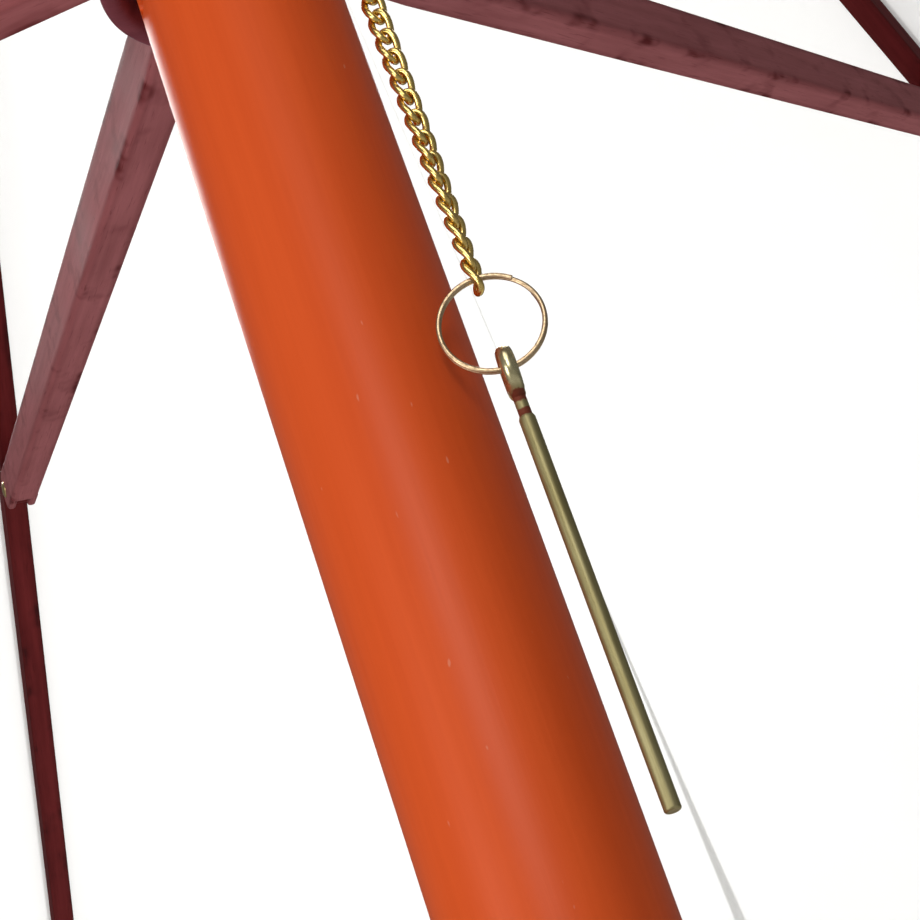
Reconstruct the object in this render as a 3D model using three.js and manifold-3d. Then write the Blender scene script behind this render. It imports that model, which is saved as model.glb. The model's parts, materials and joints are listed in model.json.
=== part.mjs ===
// Wooden market umbrella: a varnished pole, eight pinned ribs and struts, a sliding runner,
// and the lock pin that hangs from the runner on a brass chain. Millimetres, +Z up.
// The origin is the centre of the pole's foot; the umbrella stands open at rest.
import * as THREE from 'three';
import { mergeVertices } from 'three/addons/utils/BufferGeometryUtils.js';
import Module from 'manifold-3d';

const wasm = await Module();
wasm.setup();

// ---- driving dimensions -------------------------------------------------------------------
const ribCount = 8;
const hubHeight = 2400;          // foot of the pole to the ribs' pivots
const poleRadius = 24;
const poleJointHeight = 700;     // where the two halves of the pole screw together
const clearance = 0.3;           // between pieces that touch
const poleEdge = 1.5;            // chamfer at the pole's foot

const ribSlope = 24;             // degrees below level, open
const ribLength = 1430;
const ribWidth = 12;
const ribDepth = 22;
const ribTipDepth = 16;
const ribEdge = 1.2;
const jointAlong = 700;          // hub pivot to the strut joint, along the rib
const jointGap = 0.7;            // between a rib and the strut under it when folded

const strutRise = 17;            // degrees above level, open
const strutWidth = 14;
const strutDepth = 21;
const strutRootDepth = 16;       // at the runner
const strutTaper = 70;           // length over which the root reaches full depth
const strutEdge = 1.6;

const lugThickness = 6;
const lugLength = 18;
const lugRound = 0.85;           // radius of the lug's end, as a share of half its length
const forkGap = 2.63;            // between the lug's upper corner and the bottom of the fork

const wireRadius = 1.8;          // the rings of wire that hold the ribs and the struts
const wireHoleGap = 0.8;         // round the wires, in the bars that turn on them
const jointPinRadius = 2.2;
const jointPinHead = 1.1;
const jointPinGap = 0.1;

const slotGap = 0.5;             // between a bar's round end and its slot
const hubPivotGap = 5;           // between the pole and a folded rib
const hubRim = 12;               // hub's rim beyond the pivots
const hubBelow = 15;             // hub's underside below the pivots
const hubWall = 15;              // hub's top above the pivots, at the pole
const hubTopSet = 1;             // hub's rim below the ribs' upper faces
const hubEdge = 3;
const runnerPivotGap = 1.5;      // between the pole and a folded strut
const runnerRim = 6;
const runnerAbove = 13;
const runnerEdge = 2;
const floorStep = 0.5;           // runner's flange below the slots' floor
const flangeFall = 6;            // slant under the flange
const skirtDrop = 31;
const skirtWall = 4.5;
const skirtEdge = 1.5;
const boreGap = 1;               // between the pole and the runner
const mouthFlare = 3;            // bore widens by this at the skirt's rim
const mouthDepth = 8;

const ferruleLength = 38;
const ferruleWall = 1.4;
const studRadius = 8;
const studLength = 90;

const tipLength = 24;
const tipWall = 2;
const tipEdge = 3;
const tenonRoot = 5;             // overlap of the tenon and the rib

const canopyGap = 1.2;           // cloth above the ribs
const canopyThickness = 1.6;
const canopyOverhang = 14;       // hem beyond the ribs' tips

const capRim = 12;               // hub cap beyond the pole
const capEdge = 3;
const capShoulder = 6;
const capHeight = 12;
const finialRadius = 21;
const finialNeck = 9;
const finialHeight = 62;
const finialFlange = 5;
const finialCove = 4;
const spigotRadius = 6;
const spigotLength = 45;
const socketMouth = 1;           // the socket's cut stands out of the pole's top by this
const spigotEnd = 3;             // left under the spigot

const chainAzimuth = -55.1;      // degrees from +X
const ringFacing = -106.7;       // direction that the split ring faces, degrees from +X
const eyeRadius = 2.6;
const eyeWire = 0.8;
const eyeDrop = 22;              // screw eye below the struts' pivots
const eyeNeck = 0.6;
const shankRadius = 1;
const shankLength = 4;
const chainWidth = 6.6;
const chainDepth = 3;
const chainLength = 121.8;
const ringRadius = 11.3;
const ringWire = 0.8;
const lockEyeRadius = 4.5;
const lockEyeWire = 1.9;
const lockNeckRadius = 1.5;
const lockNeckLength = 6.4;
const lockRodRadius = 1.85;
const lockRodLength = 97.4;      // eye's centre line to the rod's foot
const lockRodEdge = 0.5;
const lockHoleRadius = 3.2;
const lockHoleGap = 6;           // lock hole's centre below the skirt's rim
const cutReach = 50;             // past a piece, for cuts that leave it on one side

// ---- materials ----------------------------------------------------------------------------
const finish = (color, roughness, metalness) => new THREE.MeshStandardMaterial({ color, roughness, metalness });
const poleWood = finish(0xc9602c, 0.4, 0);
const frameWood = finish(0x6b3a34, 0.45, 0);
const brass = finish(0xb9a062, 0.35, 0.9);
const steel = finish(0x9a9a98, 0.4, 0.9);
const cloth = finish(0xf3f1ea, 0.9, 0);

// ---- tools --------------------------------------------------------------------------------
const radians = THREE.MathUtils.degToRad;

function toSolid(geometry) {
  const bare = geometry.index ? geometry.clone() : geometry;
  bare.deleteAttribute('normal');
  bare.deleteAttribute('uv');
  const merged = mergeVertices(bare, 1e-4);
  const vertProperties = new Float32Array(merged.attributes.position.array);
  const triVerts = new Uint32Array(merged.index.array);
  return new wasm.Manifold(new wasm.Mesh({ numProp: 3, vertProperties, triVerts }));
}

function toGeometry(solid) {
  const mesh = solid.getMesh();
  const geometry = new THREE.BufferGeometry();
  geometry.setAttribute('position', new THREE.BufferAttribute(mesh.vertProperties, 3));
  geometry.setIndex(new THREE.BufferAttribute(mesh.triVerts, 1));
  geometry.computeVertexNormals();
  return geometry;
}

const cut = (solid, tools) => tools.reduce((rest, tool) => rest.subtract(tool), solid);
const join = (solids) => solids.reduce((whole, next) => whole.add(next));

function addMesh(parent, name, solid, material) {
  const mesh = new THREE.Mesh(toGeometry(solid), material);
  mesh.name = name;
  parent.add(mesh);
  return mesh;
}

// A turned piece: [radius, height] pairs that start and end on the axis, or close on themselves.
function turned(profile, segments = 32) {
  const points = profile.map(([r, z]) => new THREE.Vector2(r, z));
  return toSolid(new THREE.LatheGeometry(points, segments).rotateX(Math.PI / 2));
}

function tube(inner, outer, low, high, segments = 32) {
  return turned([[inner, low], [outer, low], [outer, high], [inner, high], [inner, low]], segments);
}

// A rod along the chosen axis, centred on the origin.
function rod(radius, length, axis, segments = 12) {
  const geometry = new THREE.CylinderGeometry(radius, radius, length, segments);
  if (axis === 'z') geometry.rotateX(Math.PI / 2);
  if (axis === 'x') geometry.rotateZ(Math.PI / 2);
  return toSolid(geometry);
}

function block(x0, x1, y0, y1, z0, z1) {
  const geometry = new THREE.BoxGeometry(x1 - x0, y1 - y0, z1 - z0);
  return toSolid(geometry.translate((x0 + x1) / 2, (y0 + y1) / 2, (z0 + z1) / 2));
}

// A flat bar cut to a side outline in X and Z, centred on Y, with its long edges eased.
function bar(outline, width, edge) {
  const options = { depth: width - 2 * edge, curveSegments: 4, bevelEnabled: edge > 0,
    bevelThickness: edge, bevelSize: edge, bevelOffset: -edge, bevelSegments: 1 };
  const geometry = new THREE.ExtrudeGeometry(outline, options);
  geometry.translate(0, 0, -options.depth / 2).rotateX(Math.PI / 2);
  return toSolid(geometry);
}

const ringOfWire = (radius, wire) => toSolid(new THREE.TorusGeometry(radius, wire, 6, 32));

// Slots for bars of the given width, one on each rib's azimuth.
function radialSlots(inner, outer, width, low, high) {
  return Array.from({ length: ribCount }, (_, k) =>
    block(inner, outer, -width / 2, width / 2, low, high).rotate([0, 0, (360 * k) / ribCount]));
}

// The groove that a ring of wire drops into from above.
function wireGroove(radius, top) {
  const half = wireRadius + clearance;
  const floor = Array.from({ length: 4 }, (_, i) => {
    const turn = Math.PI + (Math.PI * i) / 3;
    return [radius + half * Math.cos(turn), half * Math.sin(turn)];
  });
  return turned([...floor, [radius + half, top], [radius - half, top], floor[0]]);
}

// ---- linkage ------------------------------------------------------------------------------
const slope = radians(ribSlope);
const rise = radians(strutRise);
const hubPivotRadius = poleRadius + hubPivotGap + ribDepth / 2;
const hubRadius = hubPivotRadius + hubRim;
const runnerPivotRadius = poleRadius + runnerPivotGap + strutDepth / 2;
const runnerRadius = runnerPivotRadius + runnerRim;
const runnerFloor = strutRootDepth / 2 + slotGap + floorStep;
const runnerBore = poleRadius + boreGap;
const mouthRadius = runnerBore + mouthFlare;
const skirtRadius = mouthRadius + skirtWall;
const canopyInner = poleRadius;
const capRadius = poleRadius + capRim;
const jointDrop = (ribDepth + strutDepth) / 2 + jointGap;
const forkDepth = Math.hypot(jointDrop - ribDepth / 2, lugLength / 2) + forkGap;
const jointRadius = hubPivotRadius + jointAlong * Math.cos(slope) - jointDrop * Math.sin(slope);
const jointHeight = hubHeight - jointAlong * Math.sin(slope) - jointDrop * Math.cos(slope);
const strutLength = (jointRadius - runnerPivotRadius) / Math.cos(rise);
const runnerHeight = jointHeight - strutLength * Math.sin(rise);
const skirtRim = runnerHeight - skirtDrop;

// ---- pole ---------------------------------------------------------------------------------
function makePole(parent) {
  const sleeveInner = poleRadius - ferruleWall;
  const spigot = sleeveInner - clearance;
  const studHole = rod(studRadius + clearance, studLength + 2 * clearance, 'z');
  const low = turned([[0, 0], [poleRadius - poleEdge, 0], [poleRadius, poleEdge],
    [poleRadius, poleJointHeight - ferruleLength - clearance],
    [spigot, poleJointHeight - ferruleLength - clearance],
    [spigot, poleJointHeight - clearance / 2], [0, poleJointHeight - clearance / 2]]);
  addMesh(parent, 'pole_lower', low.subtract(studHole.translate([0, 0, poleJointHeight])), poleWood);

  const top = hubHeight + hubWall;
  const high = turned([[0, poleJointHeight + clearance / 2], [spigot, poleJointHeight + clearance / 2],
    [spigot, poleJointHeight + ferruleLength + clearance],
    [poleRadius, poleJointHeight + ferruleLength + clearance], [poleRadius, top], [0, top]]);
  const lockHole = rod(lockHoleRadius, 4 * poleRadius, 'x').translate([0, 0, skirtRim - lockHoleGap]);
  const finialSocket = rod(spigotRadius + clearance, spigotLength + clearance, 'z')
    .translate([0, 0, top - (spigotLength + clearance) / 2 + socketMouth]);
  const cuts = [studHole.translate([0, 0, poleJointHeight]), lockHole, finialSocket];
  addMesh(parent, 'pole_upper', cut(high, cuts), poleWood);

  addMesh(parent, 'ferrule_lower',
    tube(sleeveInner, poleRadius, poleJointHeight - ferruleLength, poleJointHeight - clearance / 2), brass);
  addMesh(parent, 'ferrule_upper',
    tube(sleeveInner, poleRadius, poleJointHeight + clearance / 2, poleJointHeight + ferruleLength), brass);
  addMesh(parent, 'joint_stud', rod(studRadius, studLength, 'z').translate([0, 0, poleJointHeight]), steel);
}

// ---- top hub, cap and finial --------------------------------------------------------------
// Height of the ribs' upper faces above the hub's pivots, at a distance from the pole's axis.
const ribTopAt = (radius) => ribDepth / 2 / Math.cos(slope) - (radius - hubPivotRadius) * Math.tan(slope);

function makeHub(parent) {
  const bore = poleRadius + clearance;
  const rimTop = ribTopAt(hubRadius) - hubTopSet;
  const body = turned([[bore, -hubBelow], [hubRadius - hubEdge, -hubBelow], [hubRadius, hubEdge - hubBelow],
    [hubRadius, rimTop], [bore, hubWall], [bore, -hubBelow]]);
  const reach = ribDepth / 2 + slotGap;
  const slots = radialSlots(hubPivotRadius - reach, hubRadius + cutReach, ribWidth + 2 * clearance,
    -cutReach, cutReach);
  const hub = cut(body, [...slots, wireGroove(hubPivotRadius, cutReach)]);
  addMesh(parent, 'top_hub', hub.translate([0, 0, hubHeight]), frameWood);
  addMesh(parent, 'hub_wire', ringOfWire(hubPivotRadius, wireRadius).translate([0, 0, hubHeight]), steel);
}

function makeFinial(parent) {
  const seat = hubHeight + ribTopAt(canopyInner) + canopyGap + canopyThickness + clearance;
  const fall = (capRadius - canopyInner) * Math.tan(slope);
  const hole = spigotRadius + clearance;
  const neck = finialNeck + finialFlange;
  const cap = turned([[hole, 0], [canopyInner, 0], [capRadius, -fall], [capRadius, capEdge - fall],
    [capRadius - capEdge - 1, capShoulder - fall], [neck + 1, capHeight], [hole, capHeight], [hole, 0]]);
  addMesh(parent, 'hub_cap', cap.translate([0, 0, seat]), frameWood);

  const foot = capHeight + clearance;
  const ball = finialHeight - finialRadius;
  const sphere = Array.from({ length: 7 }, (_, i) => {
    const turn = THREE.MathUtils.lerp(-1.1, Math.PI / 2, i / 6);
    return [finialRadius * Math.cos(turn), foot + ball + finialRadius * Math.sin(turn)];
  });
  sphere[6][0] = 0;
  const low = hubHeight + hubWall - spigotLength + spigotEnd - seat;
  const finial = turned([[0, low], [spigotRadius, low], [spigotRadius, foot], [neck, foot],
    [neck, foot + finialFlange], [finialNeck, foot + finialFlange + finialCove], ...sphere], 24);
  addMesh(parent, 'finial', finial.translate([0, 0, seat]), frameWood);
}

// ---- runner -------------------------------------------------------------------------------
function makeRunner(parent) {
  const body = turned([[runnerBore, mouthDepth - skirtDrop], [mouthRadius, -skirtDrop],
    [skirtRadius - skirtEdge, -skirtDrop], [skirtRadius, skirtEdge - skirtDrop],
    [skirtRadius, -runnerFloor - flangeFall], [runnerRadius, -runnerFloor],
    [runnerRadius, runnerAbove - runnerEdge], [runnerRadius - runnerEdge, runnerAbove],
    [runnerBore, runnerAbove], [runnerBore, mouthDepth - skirtDrop]]);
  const reach = strutRootDepth / 2 + slotGap;
  const slots = radialSlots(runnerPivotRadius - reach, runnerRadius + cutReach,
    strutWidth + 2 * clearance, -reach, cutReach);
  const pilot = rod(shankRadius + clearance, shankLength + clearance, 'x', 8)
    .translate([skirtRadius - (shankLength - clearance) / 2, 0, -eyeDrop]).rotate([0, 0, chainAzimuth]);
  const runner = cut(body, [...slots, wireGroove(runnerPivotRadius, cutReach), pilot]);
  addMesh(parent, 'runner', runner.translate([0, 0, runnerHeight]), frameWood);
  addMesh(parent, 'runner_wire',
    ringOfWire(runnerPivotRadius, wireRadius).translate([0, 0, runnerHeight]), steel);
}

// ---- ribs, struts and their pins ----------------------------------------------------------
function ribSolid() {
  const half = ribDepth / 2;
  const tip = ribTipDepth / 2;
  const shoulder = ribLength - tipLength;
  const side = new THREE.Shape();
  side.absarc(0, 0, half, Math.PI / 2, (3 * Math.PI) / 2, false);
  side.lineTo(shoulder, -(2 * tip - half));
  side.lineTo(shoulder, half);
  side.closePath();
  const tenonLow = half - 2 * tip + tipWall + clearance;
  const tenonHalf = ribWidth / 2 - tipWall - clearance;
  const tenon = block(shoulder - tenonRoot, ribLength - tipWall - clearance, -tenonHalf, tenonHalf,
    tenonLow, half - tipWall - clearance);
  const lugEnd = new THREE.Shape();
  const round = lugLength / 2;
  lugEnd.absarc(jointAlong, -jointDrop, round * lugRound, Math.PI, 2 * Math.PI, false);
  lugEnd.lineTo(jointAlong + round, 0);
  lugEnd.lineTo(jointAlong - round, 0);
  lugEnd.closePath();
  const holes = [rod(wireRadius + wireHoleGap, ribWidth * 2, 'y'),
    rod(jointPinRadius + jointPinGap, ribWidth * 2, 'y').translate([jointAlong, 0, -jointDrop])];
  return cut(join([bar(side, ribWidth, ribEdge), tenon, bar(lugEnd, lugThickness, 0)]), holes);
}

function tipSolid() {
  const half = ribDepth / 2;
  const low = half - ribTipDepth;
  const start = ribLength - tipLength + clearance;
  const side = new THREE.Shape();
  side.moveTo(start, low);
  side.lineTo(ribLength - tipEdge, low);
  side.lineTo(ribLength, low + tipEdge + 1);
  side.lineTo(ribLength, half - tipEdge);
  side.lineTo(ribLength - tipEdge, half);
  side.lineTo(start, half);
  side.closePath();
  const socket = block(start - 1, ribLength - tipWall, -ribWidth / 2 + tipWall, ribWidth / 2 - tipWall,
    low + tipWall, half - tipWall);
  return bar(side, ribWidth, ribEdge).subtract(socket);
}

function strutSolid() {
  const root = strutRootDepth / 2;
  const half = strutDepth / 2;
  const side = new THREE.Shape();
  side.absarc(0, 0, root, Math.PI / 2, (3 * Math.PI) / 2, false);
  side.lineTo(strutTaper, -half);
  side.lineTo(strutLength, -half);
  side.absarc(strutLength, 0, half, -Math.PI / 2, Math.PI / 2, false);
  side.lineTo(strutTaper, half);
  side.closePath();
  const forkHalf = lugThickness / 2 + clearance;
  const fork = block(strutLength - forkDepth, strutLength + half + 1, -forkHalf, forkHalf, -half - 1, half + 1);
  const holes = [rod(wireRadius + wireHoleGap, strutWidth * 2, 'y'),
    rod(jointPinRadius + jointPinGap, strutWidth * 2, 'y').translate([strutLength, 0, 0])];
  return cut(bar(side, strutWidth, strutEdge), [fork, ...holes]);
}

function jointPinSolid() {
  const shank = rod(jointPinRadius, strutWidth + 2 * clearance, 'y', 10);
  const heads = [-1, 1].map((side) => rod(2 * jointPinRadius, jointPinHead, 'y', 10)
    .translate([0, side * (strutWidth / 2 + clearance + jointPinHead / 2), 0]));
  return join([shank, ...heads]);
}

// One gore and its two halves: a ridge along the rib, falling to the lines midway to the next ribs.
// The half gore's outer edge is the midpoint between matching points of neighbouring ribs.
function canopySolid() {
  const halfGore = Math.PI / ribCount;
  const outer = hubPivotRadius + (ribLength + canopyOverhang) * Math.cos(slope);
  const corners = [];
  for (const lift of [canopyThickness, 0]) {
    for (const radius of [canopyInner, outer]) {
      const height = ribTopAt(radius) + canopyGap + lift;
      const near = radius * Math.cos(halfGore) ** 2;
      const aside = radius * Math.cos(halfGore) * Math.sin(halfGore) - clearance / 2;
      corners.push([near, -aside, height], [radius, 0, height], [near, aside, height]);
    }
  }
  const quads = [[0, 3, 4, 1], [1, 4, 5, 2], [6, 7, 10, 9], [7, 8, 11, 10], [0, 1, 7, 6], [1, 2, 8, 7],
    [4, 3, 9, 10], [5, 4, 10, 11], [3, 0, 6, 9], [2, 5, 11, 8]];
  const geometry = new THREE.BufferGeometry();
  geometry.setAttribute('position', new THREE.Float32BufferAttribute(corners.flat(), 3));
  geometry.setIndex(quads.flatMap(([a, b, c, d]) => [a, b, c, a, c, d]));
  return toSolid(geometry);
}

function makeSpoke(parent, k) {
  const spoke = new THREE.Group();
  spoke.rotation.z = (2 * Math.PI * k) / ribCount;
  parent.add(spoke);

  const ribFrame = new THREE.Group();
  ribFrame.position.set(hubPivotRadius, 0, hubHeight);
  ribFrame.rotation.y = slope;
  spoke.add(ribFrame);
  addMesh(ribFrame, `rib_${k + 1}`, ribSolid(), frameWood);
  addMesh(ribFrame, `rib_tip_${k + 1}`, tipSolid(), brass);

  const strutFrame = new THREE.Group();
  strutFrame.position.set(runnerPivotRadius, 0, runnerHeight);
  strutFrame.rotation.y = -rise;
  spoke.add(strutFrame);
  addMesh(strutFrame, `strut_${k + 1}`, strutSolid(), frameWood);
  const pin = addMesh(strutFrame, `joint_pin_${k + 1}`, jointPinSolid(), brass);
  pin.position.x = strutLength;

  const canopy = addMesh(spoke, `canopy_${k + 1}`, canopySolid(), cloth);
  canopy.position.z = hubHeight;
}

// ---- lock pin on its chain ----------------------------------------------------------------
function makeLock(parent) {
  const outerEye = eyeRadius + eyeWire;
  const hangRadius = skirtRadius + eyeNeck + outerEye;
  const eyeHeight = runnerHeight - eyeDrop;
  const line = new THREE.Group();
  line.rotation.z = radians(chainAzimuth);
  parent.add(line);

  const loop = toSolid(new THREE.TorusGeometry(eyeRadius, eyeWire, 6, 12).rotateX(Math.PI / 2));
  const shank = rod(shankRadius, shankLength + eyeNeck + eyeWire, 'x', 8)
    .translate([-outerEye - (shankLength + eyeNeck - eyeWire) / 2 + clearance / 2, 0, 0]);
  const screwEye = addMesh(line, 'screw_eye', loop.add(shank), brass);
  screwEye.position.set(hangRadius, 0, eyeHeight);

  const chainTop = eyeHeight - outerEye - clearance;
  const link = block(-chainDepth / 2, chainDepth / 2, -chainWidth / 2, chainWidth / 2, -chainLength, 0);
  const turn = radians(ringFacing - chainAzimuth);
  const chain = addMesh(line, 'chain', link, brass);
  chain.position.set(hangRadius, 0, chainTop);
  chain.rotation.z = turn;

  const ringTop = chainTop - chainLength - clearance;
  const hoop = new THREE.TorusGeometry(ringRadius, ringWire, 6, 24).rotateX(Math.PI / 2).rotateZ(Math.PI / 2);
  const ring = addMesh(line, 'split_ring', toSolid(hoop), brass);
  ring.position.set(hangRadius, 0, ringTop - ringRadius - ringWire);
  ring.rotation.z = turn;

  const eyeInner = lockEyeRadius - lockEyeWire;
  const ringFloor = ringTop - 2 * ringRadius;
  const eye = toSolid(new THREE.TorusGeometry(lockEyeRadius, lockEyeWire, 8, 16).rotateX(Math.PI / 2));
  const rodTop = -lockEyeRadius;
  const rodFoot = rodTop - lockRodLength;
  const shaft = turned([[0, rodFoot], [lockRodRadius - lockRodEdge, rodFoot],
    [lockRodRadius, rodFoot + lockRodEdge], [lockRodRadius, rodTop - lockNeckLength - lockRodEdge],
    [lockNeckRadius, rodTop - lockNeckLength], [lockNeckRadius, rodTop], [0, rodTop]], 12);
  const lockPin = addMesh(line, 'lock_pin', eye.add(shaft), brass);
  lockPin.position.set(hangRadius, 0, ringFloor + clearance - eyeInner);
  lockPin.rotation.z = turn;
}

// ---- assembly -----------------------------------------------------------------------------
const umbrella = new THREE.Group();
makePole(umbrella);
makeHub(umbrella);
makeFinial(umbrella);
makeRunner(umbrella);
for (let k = 0; k < ribCount; k += 1) makeSpoke(umbrella, k);
makeLock(umbrella);

export default umbrella;
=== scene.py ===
import json
import math
import bpy
import numpy as np
from mathutils import Matrix, Vector


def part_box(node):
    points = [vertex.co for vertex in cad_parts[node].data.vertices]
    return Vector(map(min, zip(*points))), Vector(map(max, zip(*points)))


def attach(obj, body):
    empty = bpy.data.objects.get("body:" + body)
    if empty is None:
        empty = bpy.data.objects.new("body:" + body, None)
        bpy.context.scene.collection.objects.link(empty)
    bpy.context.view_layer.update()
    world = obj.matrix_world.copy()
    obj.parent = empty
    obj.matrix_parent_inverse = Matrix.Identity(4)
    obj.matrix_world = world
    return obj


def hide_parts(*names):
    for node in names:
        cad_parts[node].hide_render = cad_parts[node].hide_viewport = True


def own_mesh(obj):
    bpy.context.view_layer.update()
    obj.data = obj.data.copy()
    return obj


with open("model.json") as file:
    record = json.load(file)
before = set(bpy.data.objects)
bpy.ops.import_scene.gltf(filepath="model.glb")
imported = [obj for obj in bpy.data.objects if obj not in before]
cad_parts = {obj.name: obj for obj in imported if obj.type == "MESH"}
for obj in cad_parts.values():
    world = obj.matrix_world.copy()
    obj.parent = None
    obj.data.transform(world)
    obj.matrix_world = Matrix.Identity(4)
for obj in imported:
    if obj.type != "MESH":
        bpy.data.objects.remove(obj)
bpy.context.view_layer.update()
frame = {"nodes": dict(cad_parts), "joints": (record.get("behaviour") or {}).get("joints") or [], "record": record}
nodes = frame["nodes"]
jointOf = {joint["name"]: joint for joint in frame["joints"]}
ribCount = sum(name.startswith("rib_") and "tip" not in name for name in nodes)
mm = 0.001
wireRadius = 1.8 * mm

# Places that every piece is worked out from.
hubPos = Vector((0, 0, 0.5 * (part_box("hub_wire")[0].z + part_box("hub_wire")[1].z)))
runnerZ = jointOf["strut_1_pivot"]["pos_m"][2]
strutPivot = jointOf["strut_1_pivot"]["pos_m"][0]
ribJoint = Vector(jointOf["rib_1_fold"]["pos_m"])
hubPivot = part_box("hub_wire")[1].x - wireRadius
print("frame loaded:", len(nodes), "nodes,", ribCount, "ribs, runner at", round(runnerZ, 4))


# Shader maths.
class Wire:
    # one socket of a material's tree; arithmetic on it adds Math nodes
    def __init__(self, kit, socket):
        self.kit = kit
        self.socket = socket

    def combine(self, operation, *values):
        inputs = dict(enumerate(values))
        return self.kit.node("ShaderNodeMath", {"operation": operation}, inputs)

    def __add__(self, other): return self.combine("ADD", self, other)
    def __sub__(self, other): return self.combine("SUBTRACT", self, other)
    def __mul__(self, other): return self.combine("MULTIPLY", self, other)
    def __radd__(self, other): return self.combine("ADD", other, self)
    def __rsub__(self, other): return self.combine("SUBTRACT", other, self)
    def __rmul__(self, other): return self.combine("MULTIPLY", other, self)
    def wave(self): return self.combine("SINE", self)
    def size(self): return self.combine("ABSOLUTE", self)

    def step(self, low, high):
        # 0 below low, 1 above high, smooth between
        settings = {"interpolation_type": "SMOOTHSTEP"}
        return self.kit.node("ShaderNodeMapRange", settings, {0: self, 1: low, 2: high})


class Finish:
    # a material whose nodes come from one method
    def __init__(self, name):
        self.material = bpy.data.materials.new(name)
        self.material.use_nodes = True
        self.tree = self.material.node_tree
        self.tree.nodes.clear()

    def node(self, kind, settings=None, inputs=None, out=0):
        made = self.tree.nodes.new(kind)
        for key, value in (settings or {}).items():
            if key == "stops":
                ramp = made.color_ramp.elements
                while len(ramp) < len(value):
                    ramp.new(0.5)
                for element, (place, colour) in zip(ramp, value):
                    element.position = place
                    element.color = (*colour, 1)
            else:
                setattr(made, key, value)
        for key, value in (inputs or {}).items():
            if isinstance(value, Wire):
                self.tree.links.new(value.socket, made.inputs[key])
            elif isinstance(value, (tuple, list)) and made.inputs[key].type == "RGBA":
                made.inputs[key].default_value = (*value, 1)
            else:
                made.inputs[key].default_value = value
        return Wire(self, made.outputs[out]) if made.outputs else made

    def place(self):
        return self.node("ShaderNodeTexCoord", out="Object")

    def attribute(self, name, out="Vector"):
        return self.node("ShaderNodeAttribute", {"attribute_name": name}, out=out)

    def stretch(self, vector, scale):
        return self.node("ShaderNodeMapping", None, {"Vector": vector, "Scale": scale})

    def noise(self, vector, scale, detail=3.0, rough=0.55):
        inputs = {"Vector": vector, "Scale": scale, "Detail": detail, "Roughness": rough}
        return self.node("ShaderNodeTexNoise", None, inputs, "Fac")

    def mix(self, mask, first, second):
        return self.node("ShaderNodeMix", {"data_type": "RGBA"}, {0: mask, 6: first, 7: second}, 2)

    def bump(self, height, strength, distance, under=None):
        inputs = {"Height": height, "Strength": strength, "Distance": distance}
        if under:
            inputs["Normal"] = under
        return self.node("ShaderNodeBump", None, inputs)

    def split(self, vector):
        # a vector's three parts
        first = self.node("ShaderNodeSeparateXYZ", None, {0: vector})
        return [Wire(self, part) for part in first.socket.node.outputs]

    def surface(self, inputs):
        return self.node("ShaderNodeBsdfPrincipled", None, inputs)

    def done(self, shader):
        self.node("ShaderNodeOutputMaterial", None, {"Surface": shader})
        return self.material


# Surfaces.
def meshPiece(name, points, faces, grain=None, arris=None):
    # points (n, 3), faces as a list of index arrays; grain is each point's place in its own bar,
    # and arris is 1 along the bar's rounded corners
    mesh = bpy.data.meshes.new(name)
    mesh.from_pydata(points.tolist(), [], [face for block in faces for face in block.tolist()])
    mesh.polygons.foreach_set("use_smooth", np.full(len(mesh.polygons), True))
    mesh.set_sharp_from_angle(angle=math.radians(38))
    if grain is not None:
        layer = mesh.attributes.new("grain", "FLOAT_VECTOR", "POINT")
        layer.data.foreach_set("vector", np.ascontiguousarray(grain, np.float32).ravel())
    if arris is not None:
        layer = mesh.attributes.new("arris", "FLOAT", "POINT")
        layer.data.foreach_set("value", np.ascontiguousarray(arris, np.float32))
    piece = bpy.data.objects.new(name, mesh)
    bpy.context.scene.collection.objects.link(piece)
    return piece


def gridFaces(rows, columns, start=0, closeRows=False, closeColumns=False):
    # quads between neighbouring points of a rows by columns grid
    a = np.arange(rows if closeRows else rows - 1)[:, None]
    b = np.arange(columns if closeColumns else columns - 1)[None, :]
    nextA, nextB = (a + 1) % rows, (b + 1) % columns
    corners = [a * columns + b, nextA * columns + b, nextA * columns + nextB, a * columns + nextB]
    return np.stack([np.broadcast_to(c, (a.size, b.size)).ravel() for c in corners], -1) + start


def turned(profile, segments=96):
    # each profile point (r, z) is carried round Z: (r cos a, r sin a, z)
    r, z = np.asarray(profile, float).T
    a = np.linspace(0, 2 * np.pi, segments, endpoint=False)
    x, y = r[:, None] * np.cos(a), r[:, None] * np.sin(a)
    points = np.stack([x, y, np.broadcast_to(z[:, None], x.shape)], -1).reshape(-1, 3)
    return points, [gridFaces(len(r), segments, closeColumns=True)[:, ::-1]]


def rounded(corners, radius, steps=4):
    # a profile whose inner corners are each an arc between the points radius back on its two sides
    corners = np.asarray(corners, float)
    out = [corners[:1]]
    for before, corner, after in zip(corners[:-2], corners[1:-1], corners[2:]):
        back, on = before - corner, after - corner
        reach = min(radius, 0.45 * np.linalg.norm(back), 0.45 * np.linalg.norm(on))
        first = corner + back / np.linalg.norm(back) * reach
        last = corner + on / np.linalg.norm(on) * reach
        t = np.linspace(0, 1, steps + 1)[:, None]
        out.append((1 - t) ** 2 * first + 2 * t * (1 - t) * corner + t ** 2 * last)
    return np.concatenate(out + [corners[-1:]])


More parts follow.
